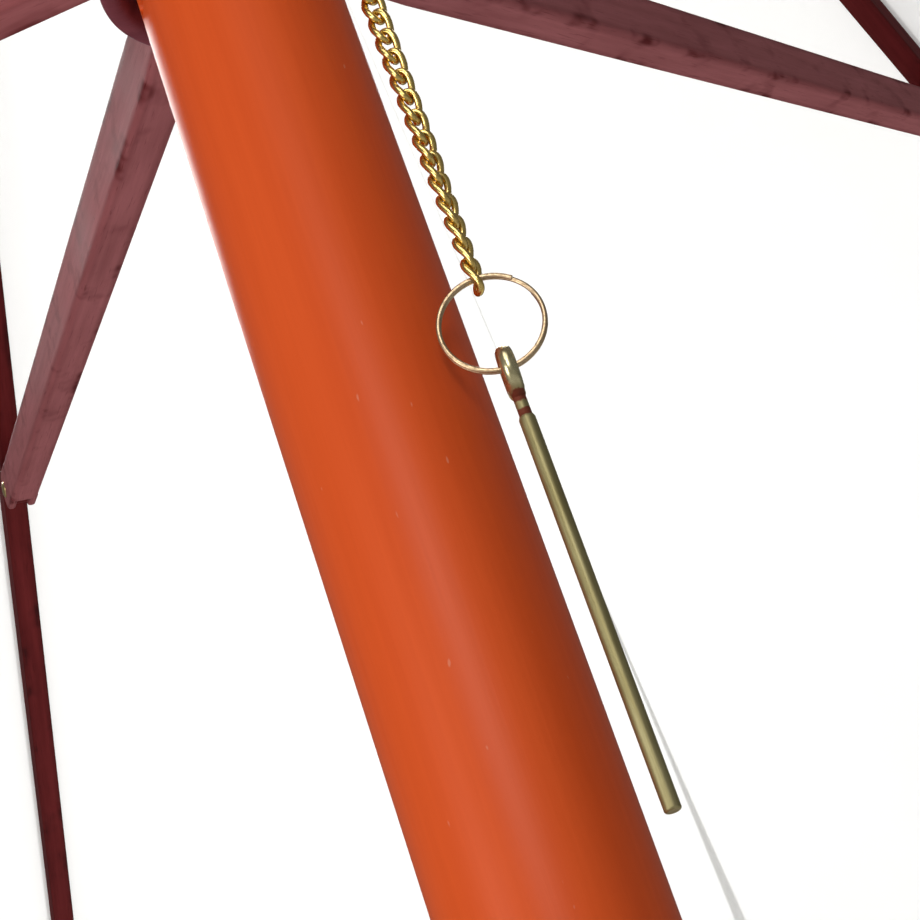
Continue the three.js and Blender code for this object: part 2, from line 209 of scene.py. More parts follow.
def swept(path, radius, sides=16, closed=False):
    # a circle of the given radius carried along path, turned as little as possible from point to point
    path = np.asarray(path, float)
    radius = np.broadcast_to(radius, len(path))
    if closed:
        tangent = np.roll(path, -1, 0) - np.roll(path, 1, 0)
    else:
        tangent = np.gradient(path, axis=0)
    tangent /= np.linalg.norm(tangent, axis=1, keepdims=True)
    side = np.cross(tangent[0], [0.31, 0.27, 0.91])
    sideways = []
    for t in tangent:
        side = side - t * (side @ t)
        side = side / np.linalg.norm(side)
        sideways.append(side)
    first = np.array(sideways)
    second = np.cross(tangent, first)
    if closed:  # what the frame has turned by over the loop is spread back along it
        back = first[-1] - tangent[0] * (first[-1] @ tangent[0])
        slip = math.atan2(back @ second[0], back @ first[0])
        turn = -slip * np.arange(len(path))[:, None] / len(path)
        first, second = (first * np.cos(turn) + second * np.sin(turn),
                         second * np.cos(turn) - first * np.sin(turn))
    a = np.linspace(0, 2 * np.pi, sides, endpoint=False)[None, :, None]
    ring = first[:, None] * np.cos(a) + second[:, None] * np.sin(a)
    points = (path[:, None] + ring * radius[:, None, None]).reshape(-1, 3)
    faces = [gridFaces(len(path), sides, closeRows=closed, closeColumns=True)[:, ::-1]]
    if not closed:
        last = (len(path) - 1) * sides
        faces += [np.arange(sides)[None, :], np.arange(last, last + sides)[None, ::-1]]
    return points, faces


def joined(parts):
    # several closed surfaces as one
    points, faces, start = [], [], 0
    for part, blocks in parts:
        points.append(part)
        faces += [block + start for block in blocks]
        start += len(part)
    return np.concatenate(points), faces


arrisWidth, arcSteps = 1.7 * mm, 5


def arrisMask(points):
    # 1 on the arcs and 0 on the inset points, in the order that bar() makes them
    corner = np.r_[0, np.ones(arcSteps), 0]
    return np.tile(corner, len(points) // len(corner))


def bar(stations, top, bottom, width, edge, middle=0.0):
    # a rounded rectangle carried along X: z runs from bottom(x) to top(x), y is middle +- width / 2,
    # each corner is an arc of the given radius, or of half the height where that is less, and each flat
    # has two more points, inset from its arcs, where the arris ends
    x = np.asarray(stations, float)
    top, bottom = np.broadcast_to(top, x.shape), np.broadcast_to(bottom, x.shape)
    half = np.maximum((top - bottom) / 2, 1e-6)
    centre = (top + bottom) / 2
    r = np.minimum(edge, half * 0.999)
    t = np.linspace(0, np.pi / 2, arcSteps)
    insetY = np.minimum(arrisWidth, 0.8 * (width / 2 - r))
    insetZ = np.minimum(arrisWidth, 0.8 * (half - r))
    y, z = [], []
    for turn, (signY, signZ) in enumerate(((1, 1), (-1, 1), (-1, -1), (1, -1))):
        a = t + turn * np.pi / 2
        arcY = signY * (width / 2 - r)[:, None] + np.cos(a) * r[:, None]
        arcZ = signZ * (half - r)[:, None] + np.sin(a) * r[:, None]
        backY, backZ = -signY * insetY[:, None], -signZ * insetZ[:, None]
        onTop = turn % 2 == 0  # an even corner's arc ends on a flat along Y, an odd one's begins there
        before = (arcY[:, :1] + (0 if onTop else backY), arcZ[:, :1] + (backZ if onTop else 0))
        after = (arcY[:, -1:] + (backY if onTop else 0), arcZ[:, -1:] + (0 if onTop else backZ))
        y += [before[0] + 0 * arcZ[:, :1], arcY, after[0] + 0 * arcZ[:, :1]]
        z += [before[1] + 0 * arcY[:, :1], arcZ, after[1] + 0 * arcY[:, :1]]
    z = [centre[:, None] + part for part in z]
    y, z = np.concatenate(y, 1) + middle, np.concatenate(z, 1)
    columns = y.shape[1]
    points = np.stack([np.broadcast_to(x[:, None], y.shape), y, z], -1).reshape(-1, 3)
    last = (len(x) - 1) * columns
    faces = [gridFaces(len(x), columns, closeColumns=True)[:, ::-1],
             np.arange(columns)[None, :], np.arange(last, last + columns)[None, ::-1]]
    return points, faces


def roundEnd(start, reach, steps=12, flip=False):
    # stations that crowd towards a round end: start + reach (1 - cos t) or its mirror
    t = np.linspace(0.06, np.pi / 2, steps)
    out = start + reach * (1 - np.cos(t))
    return out if not flip else (start - reach * (1 - np.cos(t)))[::-1]


def moved(points, matrix):
    m = np.array(matrix)
    return points @ m[:3, :3].T + m[:3, 3]


def spokeMatrix(k, origin, tilt):
    # a bar's own frame, X along the bar, to the row frame: turned down by tilt, then round to rib k
    round_ = Matrix.Rotation(2 * math.pi * (k - 1) / ribCount, 4, "Z")
    return round_ @ Matrix.Translation(origin) @ Matrix.Rotation(tilt, 4, "Y")


def dress(piece, material, slot, body, *replaced):
    piece.data.materials.clear()
    piece.data.materials.append(material)
    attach(piece, body)
    if replaced:
        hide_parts(*replaced)
    return piece


# Finishes.
poleLook = {"light": (0.82, 0.112, 0.020), "deep": (0.73, 0.088, 0.013), "speck": (0.86, 0.42, 0.28),
            "rough": 0.40, "specular": 0.22}


def poleFinish():
    # stained softwood under satin varnish: long faint streaks, slow patches, a few dust specks
    kit = Finish("poleVarnish")
    at = kit.place()
    long = kit.stretch(at, (1, 1, 0.035))
    streak = kit.noise(long, 190, 4, 0.6)
    patch = kit.noise(kit.stretch(at, (1, 1, 0.25)), 26, 2)
    fibre = kit.noise(kit.stretch(at, (1, 1, 0.02)), 900, 3, 0.7)
    tone = (streak * 0.55 + patch * 0.5 + fibre * 0.2 - 0.1).step(0.25, 0.85)
    stained = kit.mix(tone, poleLook["deep"], poleLook["light"])
    dust = kit.noise(kit.stretch(at, (1, 1, 0.4)), 520, 1).step(0.77, 0.82)
    colour = kit.mix(dust * 0.35, stained, poleLook["speck"])
    rough = poleLook["rough"] + patch * 0.10 - 0.05 + dust * 0.25
    ripple = kit.bump(streak, 0.12, 0.0006)
    normal = kit.bump(fibre + dust * 2, 0.10, 0.0001, ripple)
    return kit.done(kit.surface({"Base Color": colour, "Roughness": rough, "Normal": normal,
                                 "Specular IOR Level": poleLook["specular"]}))


def mahoganyFinish(name, light, deep, edge, rough):
    # stained hardwood: streaks and short pores along the bar, darker where the varnish gathers
    kit = Finish(name)
    at = kit.attribute("grain")
    streak = kit.noise(kit.stretch(at, (0.05, 1, 1)), 260, 4, 0.62)
    patch = kit.noise(kit.stretch(at, (0.3, 1, 1)), 42, 3)
    pore = kit.noise(kit.stretch(at, (0.045, 1, 1)), 1500, 2, 0.5).step(0.60, 0.72)
    tone = (streak * 0.7 + patch * 0.6 - 0.15).step(0.2, 0.85)
    stained = kit.mix(tone, deep, light)
    gathered = kit.noise(kit.stretch(at, (0.5, 1, 1)), 90, 2).step(0.52, 0.75)
    arris = kit.attribute("arris", "Fac")
    colour = kit.mix(gathered * 0.35 + pore * 0.3 + arris * (0.25 + gathered * 0.5), stained, edge)
    normal = kit.bump(pore * -1.0 + streak * 0.5, 0.22, 0.0003)
    return kit.done(kit.surface({"Base Color": colour, "Roughness": rough + patch * 0.14, "Normal": normal,
                                 "Specular IOR Level": 0.06}))


def brassFinish(name, light, deep, rough, streaked=False, tarnish=0.5):
    # brass with slow colour change, dark film in the recesses of its noise, and fine scratches
    kit = Finish(name)
    at = kit.place()
    patch = kit.noise(at, 420, 3)
    film = kit.noise(at, 1400, 4, 0.7).step(0.45, 0.72)
    scratch = kit.noise(kit.stretch(at, (1, 1, 0.04 if streaked else 0.5)), 3600, 2, 0.6)
    colour = kit.mix(film * tarnish + patch * 0.2, light, deep)
    roughness = rough + film * 0.18 + patch * 0.08
    normal = kit.bump(scratch + patch * 0.6, 0.18, 0.00006)
    return kit.done(kit.surface({"Base Color": colour, "Roughness": roughness, "Metallic": 1.0,
                                 "Normal": normal}))


def steelFinish():
    kit = Finish("wireSteel")
    at = kit.place()
    patch = kit.noise(at, 260, 3)
    colour = kit.mix(patch, (0.42, 0.42, 0.41), (0.62, 0.62, 0.60))
    normal = kit.bump(kit.noise(at, 2400, 2), 0.15, 0.00005)
    return kit.done(kit.surface({"Base Color": colour, "Roughness": 0.28 + patch * 0.2, "Metallic": 1.0,
                                 "Normal": normal}))


clothLook = {"thread": 0.0011, "cloth": (0.91, 0.905, 0.89), "shade": (0.86, 0.85, 0.83),
             "stitch": (0.78, 0.75, 0.68), "seam": 0.009, "hem": 0.020, "pitch": 0.0042}


def clothFinish():
    # plain weave: one sine across each set of threads; the lap at each rib and the hem are doubled cloth,
    # each held by a row of stitches, so they let less light through
    kit = Finish("canopyCloth")
    at = kit.attribute("weave")
    aside, along, fromHem = kit.split(at)
    turnsPer = 2 * math.pi / clothLook["thread"]
    warp, weft = (aside * turnsPer).wave(), (along * turnsPer).wave()
    weave = warp * weft
    slub = kit.noise(kit.stretch(at, (1, 0.03, 1)), 420, 2)
    patch = kit.noise(at, 3.2, 3)
    lap = 1 - aside.size().step(clothLook["seam"] - 0.0004, clothLook["seam"])
    hem = 1 - fromHem.step(clothLook["hem"] - 0.0005, clothLook["hem"])
    doubled = lap.combine("MAXIMUM", lap, hem)
    ribRow = 1 - (aside.size() - (clothLook["seam"] - 0.0022)).size().step(0.0004, 0.0007)
    hemRow = 1 - (fromHem - (clothLook["hem"] - 0.003)).size().step(0.0004, 0.0007)
    dashes = (along * (2 * math.pi / clothLook["pitch"])).wave().step(-0.35, -0.1)
    dashesAcross = (aside * (2 * math.pi / clothLook["pitch"])).wave().step(-0.35, -0.1)
    stitch = (ribRow * dashes).combine("MAXIMUM", ribRow * dashes, hemRow * dashesAcross)
    plain = kit.mix(patch * 0.5 + slub * 0.3, clothLook["cloth"], clothLook["shade"])
    colour = kit.mix(stitch * 0.6, plain, clothLook["stitch"])
    normal = kit.bump(weave * 0.5 + slub + stitch * 2, 0.25, 0.00012)
    face = kit.surface({"Base Color": colour, "Roughness": 0.88, "Normal": normal, "Sheen Weight": 0.15,
                        "Specular IOR Level": 0.25})
    through = kit.node("ShaderNodeBsdfTranslucent", None, {"Color": (0.97, 0.97, 0.96), "Normal": normal})
    share = 0.62 - doubled * 0.22
    return kit.done(kit.node("ShaderNodeMixShader", None, {0: share, 1: face, 2: through}))


poleVarnish = poleFinish()
strutWood = mahoganyFinish("strutVarnish", (0.58, 0.19, 0.20), (0.40, 0.115, 0.120),
                           (0.15, 0.016, 0.018), 0.46)
ribWood = mahoganyFinish("ribVarnish", (0.22, 0.026, 0.027), (0.12, 0.011, 0.012),
                         (0.06, 0.007, 0.008), 0.46)
runnerWood = mahoganyFinish("runnerVarnish", (0.29, 0.078, 0.100), (0.18, 0.045, 0.060),
                            (0.06, 0.010, 0.014), 0.44)
chainBrass = brassFinish("chainBrass", (0.90, 0.66, 0.22), (0.28, 0.15, 0.03), 0.20, tarnish=0.5)
ringBrass = brassFinish("ringBrass", (0.62, 0.46, 0.28), (0.28, 0.17, 0.09), 0.32, tarnish=0.5)
fittingBrass = brassFinish("fittingBrass", (0.70, 0.52, 0.24), (0.38, 0.26, 0.11), 0.28, tarnish=0.4)
wireSteel = steelFinish()
canopyCloth = clothFinish()
print("finishes made")

# The pole.
pole = {"radius": 24 * mm, "edge": 1.6 * mm, "holeRadius": 3.2 * mm, "holeDepth": 14 * mm}


def poleSurface(low, high, holeZ=None, footEdge=0.0):
    # radius R at every height, less a round pit on the +X and -X sides: depth where the distance
    # from the hole's centre, measured on the surface, is under its radius
    r = pole["radius"]
    angles = np.linspace(0, 2 * np.pi, 144, endpoint=False)
    heights = np.linspace(low, high, max(8, int((high - low) / 0.02)))
    if holeZ is not None:
        fine = np.linspace(-1.6 * pole["holeRadius"], 1.6 * pole["holeRadius"], 41)
        heights = heights[abs(heights - holeZ) > 1.8 * pole["holeRadius"]]
        heights = np.concatenate([heights, holeZ + fine])
        near = fine / r
        far = angles[(abs(np.sin(angles)) * r > 1.8 * pole["holeRadius"])]
        angles = np.concatenate([far, near % (2 * np.pi), (near + np.pi) % (2 * np.pi)])
    if footEdge:
        heights = np.concatenate([heights, low + footEdge * (1 - np.cos(np.linspace(0, 1.5, 7)))])
    heights, angles = np.unique(np.round(heights, 8)), np.unique(np.round(angles, 8))
    z, a = heights[:, None], angles[None, :]
    radius = np.full((len(heights), len(angles)), r)
    if footEdge:
        inside = np.clip(1 - abs(z - low) / footEdge, 0, 1)
        radius -= footEdge * (1 - np.sqrt(1 - inside ** 2))
    if holeZ is not None:
        for side in (0, np.pi):
            turn = (a - side + np.pi) % (2 * np.pi) - np.pi
            away = np.hypot(turn * r, z - holeZ)
            share = np.clip((pole["holeRadius"] - away) / (0.25 * mm), 0, 1)
            radius -= pole["holeDepth"] * share * share * (3 - 2 * share)
    points = np.stack([radius * np.cos(a), radius * np.sin(a), np.broadcast_to(z, radius.shape)], -1)
    count = len(angles)
    points = np.concatenate([points.reshape(-1, 3), [[0, 0, heights[0]], [0, 0, heights[-1]]]])
    ring = np.arange(count)
    last = (len(heights) - 1) * count
    foot, head = len(points) - 2, len(points) - 1
    caps = [np.stack([ring, np.full(count, foot), (ring + 1) % count], -1),
            np.stack([last + ring, last + (ring + 1) % count, np.full(count, head)], -1)]
    return points, [gridFaces(len(heights), count, closeColumns=True)[:, ::-1]] + caps


def makePole():
    openings = {opening["name"]: opening for opening in frame["record"]["physics"]["openings"]}
    holeBox = openings["lock_pin_hole"]["box_m"]
    holeZ = (holeBox[0][2] + holeBox[1][2]) / 2
    lower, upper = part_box("ferrule_lower"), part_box("ferrule_upper")
    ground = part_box("pole_lower")[0].z
    low = meshPiece("poleLower", *poleSurface(ground, lower[0].z, footEdge=pole["edge"]))
    dress(low, poleVarnish, "pole_wood", "pole", "pole_lower")
    high = meshPiece("poleUpper", *poleSurface(upper[1].z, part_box("pole_upper")[1].z, holeZ))
    dress(high, poleVarnish, "pole_wood", "pole", "pole_upper")
    for node, (bottom, top), lip in (("ferrule_lower", lower, 1), ("ferrule_upper", upper, -1)):
        r = pole["radius"]
        z0, z1 = bottom.z, top.z
        groove = (z0 if lip > 0 else z1) + lip * 6 * mm
        profile = [(0, z0), (r - 0.2 * mm, z0), (r, z0 + 0.3 * mm)]
        profile += [(r, groove - 0.9 * mm), (r - 0.5 * mm, groove), (r, groove + 0.9 * mm)]
        profile += [(r, z1 - 0.3 * mm), (r - 0.2 * mm, z1), (0, z1)]
        piece = meshPiece(node.title().replace("_", ""), *turned(rounded(profile, 0.5 * mm), 128))
        dress(piece, fittingBrass, "brass", "pole", node)


makePole()
print("pole made")

# Hub and runner: turned cores with teeth between the slots.
def teeth(profile, slotWidth, steps=9):
    # the profile (r, z) closed on itself, carried from one slot's wall to the next:
    # at radius r the walls stand at asin(w / 2r) past each rib's azimuth, so the slots stay parallel
    r, z = np.asarray(profile, float).T
    wall = np.arcsin(slotWidth / 2 / r)
    pitch = 2 * np.pi / ribCount
    v = np.linspace(0, 1, steps)[:, None]
    parts = []
    for k in range(ribCount):
        a = pitch * k + wall + v * (pitch - 2 * wall)
        points = np.stack([r * np.cos(a), r * np.sin(a), np.broadcast_to(z, a.shape)], -1).reshape(-1, 3)
        count, last = len(r), (steps - 1) * len(r)
        faces = [gridFaces(steps, count, closeColumns=True),
                 np.arange(count)[None, ::-1], np.arange(last, last + count)[None, :]]
        parts.append((points, faces))
    return parts


def closedLoop(corners, radius):
    # a closed profile with every corner rounded
    corners = list(corners)
    ring = rounded([corners[-1]] + corners + [corners[0]], radius, 3)
    return ring[1:-1]


def makeHub():
    z = hubPos.z
    low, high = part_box("top_hub")
    bore = pole["radius"] + 0.3 * mm
    slotFloor = hubPivot - 11.5 * mm
    outer = high.x
    rimTop = z + 5.65 * mm
    fall = (high.z - rimTop) / (outer - bore)
    topAt = lambda r: high.z - fall * (r - bore)
    core = [(bore, low.z), (slotFloor, low.z), (slotFloor, topAt(slotFloor)), (bore, high.z)]
    core = closedLoop(core, 0.6 * mm)
    core = np.concatenate([core, core[:1]])
    inner = slotFloor - 0.5 * mm
    tooth = [(inner, low.z), (outer, low.z), (outer, rimTop), (inner, topAt(inner))]
    tooth = closedLoop(tooth, 1.2 * mm)
    points, faces = joined([turned(core, 96)] + teeth(tooth, 12.6 * mm))
    hub = meshPiece("topHub", points, faces, grain=points)
    dress(hub, ribWood, "frame_wood", "pole", "top_hub")


runner = {"slotWall": 27.5 * mm, "skirt": 32.5 * mm, "flange": 42 * mm, "bore": 25 * mm, "mouth": 28 * mm,
          "slotWidth": 14.6 * mm, "rimRound": 1.6 * mm}


def makeRunner():
    low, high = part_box("runner")
    floor = runnerZ - 9 * mm
    cut = runnerZ - 8.5 * mm
    neck = runnerZ - 15 * mm
    r = runner
    core = [(r["bore"], low.z + 8 * mm), (r["mouth"], low.z), (r["skirt"], low.z), (r["skirt"], neck),
            (r["slotWall"] + 10 * mm, cut), (r["slotWall"], cut), (r["slotWall"], high.z),
            (r["bore"], high.z)]
    ring = closedLoop(core, r["rimRound"])
    ring = np.concatenate([ring, ring[:1]])
    inner = r["slotWall"] - 0.5 * mm
    tooth = closedLoop([(inner, neck + 1 * mm), (r["skirt"] - 0.4 * mm, neck + 0.4 * mm),
                        (r["flange"], floor), (r["flange"], high.z), (inner, high.z)], 1.4 * mm)
    points, faces = joined([turned(ring, 160)] + teeth(tooth, r["slotWidth"], 13))
    piece = meshPiece("runnerCollar", points, faces, grain=points)
    dress(piece, runnerWood, "frame_wood", "runner", "runner")


def makeWires():
    for node, z, radius, body in (("hub_wire", hubPos.z, hubPivot, "pole"),
                                  ("runner_wire", runnerZ, strutPivot, "runner")):
        a = np.linspace(0, 2 * np.pi, 96, endpoint=False)
        path = np.stack([radius * np.cos(a), radius * np.sin(a), np.full(96, z)], -1)
        name = "hubWire" if body == "pole" else "runnerWire"
        dress(meshPiece(name, *swept(path, wireRadius, 12, closed=True)), wireSteel, "steel", body, node)


def makeFinial():
    low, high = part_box("hub_cap")
    outer, hole = high.x, 6.3 * mm
    top = high.z
    fall = (outer - 24 * mm) * math.tan(math.radians(24))
    seat = low.z + fall
    profile = closedLoop([(hole, seat), (24 * mm, seat), (outer, low.z), (outer, low.z + 3 * mm),
                          (outer - 5 * mm, low.z + 6 * mm), (15 * mm, top), (hole, top)], 1.6 * mm)
    cap = meshPiece("hubCap", *turned(np.concatenate([profile, profile[:1]]), 96))
    grain = np.array([v.co for v in cap.data.vertices])
    layer = cap.data.attributes.new("grain", "FLOAT_VECTOR", "POINT")
    layer.data.foreach_set("vector", grain.astype(np.float32).ravel())
    dress(cap, ribWood, "frame_wood", "pole", "hub_cap")
    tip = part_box("finial")[1].z
    ball = 20.6 * mm
    centre = tip - ball
    t = np.linspace(-1.08, np.pi / 2, 26)
    sphere = np.stack([ball * np.cos(t), centre + ball * np.sin(t)], -1)
    sphere[-1, 0] = 0.02 * mm
    neck = rounded([(0.02 * mm, top - 8 * mm), (6 * mm, top - 8 * mm), (6 * mm, top + 0.3 * mm),
                    (14 * mm, top + 0.3 * mm), (14 * mm, top + 5 * mm), (9 * mm, top + 9 * mm),
                    tuple(sphere[0])], 2.0 * mm, 5)
    points, faces = turned(np.concatenate([neck, sphere[1:]]), 72)
    finial = meshPiece("finialKnob", points, faces, grain=points[:, [2, 0, 1]])
    dress(finial, ribWood, "frame_wood", "pole", "finial")


makeHub()
makeRunner()
makeWires()
makeFinial()
print("hub, runner and finial made")

# Ribs, struts, pins and tips.
slope = math.radians(24)
rise = math.atan2(ribJoint.z - runnerZ, ribJoint.x - strutPivot)
strutLength = math.hypot(ribJoint.z - runnerZ, ribJoint.x - strutPivot)
rib = {"length": 1430 * mm, "depth": 22 * mm, "width": 12 * mm, "tipDepth": 16 * mm, "edge": 1.5 * mm,
       "tipLength": 24 * mm, "jointAlong": 700 * mm, "jointDrop": 22.2 * mm, "lug": 6 * mm,
       "lugLength": 18 * mm}
strut = {"depth": 21 * mm, "rootDepth": 16 * mm, "width": 14 * mm, "edge": 2.0 * mm, "taper": 70 * mm,
         "fork": 17 * mm, "slot": 6.6 * mm}


def ribSurface():
    half, tip = rib["depth"] / 2, rib["tipDepth"] / 2
    shoulder = rib["length"] - rib["tipLength"]
    near = roundEnd(-half, half, 12)
    x = np.concatenate([near, np.linspace(half * 0.3, shoulder - 1 * mm, 60),
                        [shoulder - 0.3 * mm, shoulder]])
    arc = np.sqrt(np.clip(half ** 2 - np.minimum(x, 0) ** 2, 0, None))
    under = half + (2 * tip - half - half) * np.clip(x / shoulder, 0, 1)
    ease = np.where(x >= shoulder - 0.1 * mm, 0.5 * mm, 0)
    main = bar(x, np.where(x < 0, arc, half) - ease, -np.where(x < 0, arc, under) + ease,
               rib["width"], rib["edge"])
    # the lug hangs below the rib, so it is carried down and turned: its own X becomes the rib's -Z
    reach = rib["jointDrop"] + rib["lugLength"] * 0.42
    down = np.concatenate([np.linspace(2 * mm, rib["jointDrop"], 8)[:-1],
                           roundEnd(reach, reach - rib["jointDrop"], 10, flip=True)])
    share = (down - rib["jointDrop"]) / (reach - rib["jointDrop"])
    wide = np.where(down < rib["jointDrop"], rib["lugLength"] / 2,
                    rib["lugLength"] / 2 * np.sqrt(np.clip(1 - share ** 2, 0.003, 1)))
    lug, lugFaces = bar(down, wide, -wide, rib["lug"], 0.6 * mm)
    lug = np.stack([rib["jointAlong"] + lug[:, 2], lug[:, 1], -lug[:, 0]], -1)
    mask = np.concatenate([arrisMask(main[0]), 0.5 * arrisMask(lug)])
    return *joined([main, (lug, [block[:, ::-1] for block in lugFaces])]), mask


def strutSurface():
    root, half = strut["rootDepth"] / 2, strut["depth"] / 2
    forkEnd = strutLength - strut["fork"]
    depthAt = lambda s: root + (half - root) * np.clip(s / strut["taper"], 0, 1)
    near = roundEnd(-root, root, 12)
    x = np.concatenate([near, np.linspace(root * 0.3, strut["taper"], 12),
                        np.linspace(0.09, forkEnd, 40)])
    deep = np.where(x < 0, np.sqrt(np.clip(root ** 2 - np.minimum(x, 0) ** 2, 0, None)), depthAt(x))
    main = bar(x, deep, -deep, strut["width"], strut["edge"])
    cheek = (strut["width"] - strut["slot"]) / 2
    far = np.concatenate([[forkEnd - 3 * mm], np.linspace(forkEnd, strutLength, 5)[:-1],
                          roundEnd(strutLength + half, half, 14, flip=True)])
    round_ = np.where(far <= strutLength, half,
                      np.sqrt(np.clip(half ** 2 - np.maximum(far - strutLength, 0) ** 2, 0, None)))
    parts = [main]
    for side in (-1, 1):
        middle = side * (strut["slot"] + cheek) / 2
        parts.append(bar(far, round_, -round_, cheek, 1.2 * mm, middle))
    return *joined(parts), np.concatenate([arrisMask(points) for points, _ in parts])


def pinSurface():
    # a rivet along Y: flat shank and a domed head each side
    half = strut["width"] / 2 + 0.15 * mm
    head, rise_ = 4.2 * mm, 1.2 * mm
    t = np.linspace(0, np.pi / 2, 7)
    dome = np.stack([head * np.cos(t), half + rise_ * np.sin(t)], -1)
    dome[-1, 0] = 0.02 * mm
    profile = np.concatenate([dome[::-1] * [1, -1], [[2.1 * mm, -half], [2.1 * mm, half]], dome])
    points, faces = turned(profile, 24)
    return points[:, [0, 2, 1]] * [1, 1, -1], faces


def tipSurface():
    half = rib["depth"] / 2
    low = half - rib["tipDepth"]
    start, end = rib["length"] - rib["tipLength"] + 0.3 * mm, rib["length"]
    x = np.concatenate([[start, start + 0.4 * mm], np.linspace(start + 3 * mm, end - 3 * mm, 5),
                        roundEnd(end, 3 * mm, 7, flip=True)])
    ease = 3 * mm * (1 - np.sqrt(np.clip(1 - (np.maximum(x - end + 3 * mm, 0) / (3 * mm)) ** 2, 0, 1)))
    ease = ease + np.where(x == start, 0.4 * mm, 0)
    return bar(x, half - ease, low + ease, rib["width"] - 0.2 * mm, 1.8 * mm)


def makeSpokes():
    rng = np.random.default_rng(7)
    ribShape, strutShape, pinShape, tipShape = ribSurface(), strutSurface(), pinSurface(), tipSurface()
    for k in range(1, ribCount + 1):
        ribAt = spokeMatrix(k, (hubPivot, 0, hubPos.z), slope)
        strutAt = spokeMatrix(k, (strutPivot, 0, runnerZ), -rise)
        shift = rng.uniform(-5, 5, (2, 3))
        piece = meshPiece(f"rib{k}", moved(ribShape[0], ribAt), ribShape[1],
                          ribShape[0] + shift[0], ribShape[2])
        dress(piece, ribWood, "frame_wood", f"rib_{k}", f"rib_{k}")
        piece = meshPiece(f"strut{k}", moved(strutShape[0], strutAt), strutShape[1],
                          strutShape[0] + shift[1], strutShape[2])
        dress(piece, strutWood, "frame_wood", f"strut_{k}", f"strut_{k}")
        piece = meshPiece(f"jointPin{k}", moved(pinShape[0] + [strutLength, 0, 0], strutAt), pinShape[1])
        dress(piece, fittingBrass, "brass", f"strut_{k}", f"joint_pin_{k}")
        piece = meshPiece(f"ribTip{k}", moved(tipShape[0], ribAt), tipShape[1])
        dress(piece, fittingBrass, "brass", f"rib_{k}", f"rib_tip_{k}")


makeSpokes()
print("ribs and struts made")

# The canopy.
canopy = {"inner": 25 * mm, "outer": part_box("canopy_1")[1].x, "lift": 1.7 * mm, "thickness": 0.9 * mm,
          "sag": 17 * mm, "rows": 90, "columns": 40, "ripple": 1.6 * mm}


def halfGore(side):
    # s runs from the crown to the hem and w from the rib (0) to the middle of the gore (1).
    # The flat gore runs from the ridge to the chord's middle as w does. It sags below that by
    # 0.9 sag s (1 - s / 3) w (2 - w), so two halves meet level, and faint ripples fan out from the crown.
    s = np.linspace(0, 1, canopy["rows"])[:, None]
    w = np.linspace(0, 1, canopy["columns"])[None, :]
    half = np.pi / ribCount
    radius = canopy["inner"] + (canopy["outer"] - canopy["inner"]) * s
    rise_ = rib["depth"] / 2 / math.cos(slope) + canopy["lift"]
    height = hubPos.z + rise_ - (radius - hubPivot) * math.tan(slope)
    near, aside = radius * math.cos(half) ** 2, radius * math.cos(half) * math.sin(half)
    x = radius + (near - radius) * w
    y = side * aside * w
    bow = w * (2 - w)
    ripple = canopy["ripple"] * np.sin(9 * np.pi * w) * (1 - w) * w * 4 * s ** 1.5
    z = height + 0 * w - canopy["sag"] * s * (1 - s / 3) * bow * 0.9 + ripple
    curve = 16 * mm * s ** 6 * bow  # the hem is cut in a shallow curve between the ribs
    x, z = x - curve * math.cos(slope), z + curve * math.sin(slope)
    top = np.stack([x, y, z], -1)
    normal = np.cross(np.gradient(top, axis=0), np.gradient(top, axis=1)) * side * -1.0
    normal /= np.linalg.norm(normal, axis=-1, keepdims=True)
    normal *= np.sign(normal[..., 2:3])
    hem = np.clip((s - 0.985) / 0.004, 0, 1)
    thick = canopy["thickness"] * (1 + 0.9 * hem + 0.9 * np.clip((0.0105 - aside * w) / 0.002, 0, 1))
    thick = thick * np.clip((1 - w) * aside / (4 * mm), 0.12, 1)  # thin where two halves meet
    bottom = top - normal * thick[..., None]
    slant = 1 / math.cos(slope)
    weave = np.stack([side * aside * w / math.cos(half), (radius - canopy["inner"]) * slant + 0 * w,
                      (canopy["outer"] - radius) * slant + 0 * w], -1)
    rows, columns = canopy["rows"], canopy["columns"]
    count = rows * columns
    faces = gridFaces(rows, columns)
    index = np.arange(count).reshape(rows, columns)
    rim = np.concatenate([index[0, :-1], index[:-1, -1], index[-1, :0:-1], index[:0:-1, 0]])
    after = np.roll(rim, -1)
    wall = np.stack([rim, after, after + count, rim + count], -1)
    under = faces[:, ::-1] + count
    blocks = [faces, under, wall[:, ::-1]]
    if side < 0:
        blocks = [block[:, ::-1] for block in blocks]
    points = np.concatenate([top.reshape(-1, 3), bottom.reshape(-1, 3)])
    return points, blocks, np.tile(weave.reshape(-1, 3), (2, 1))


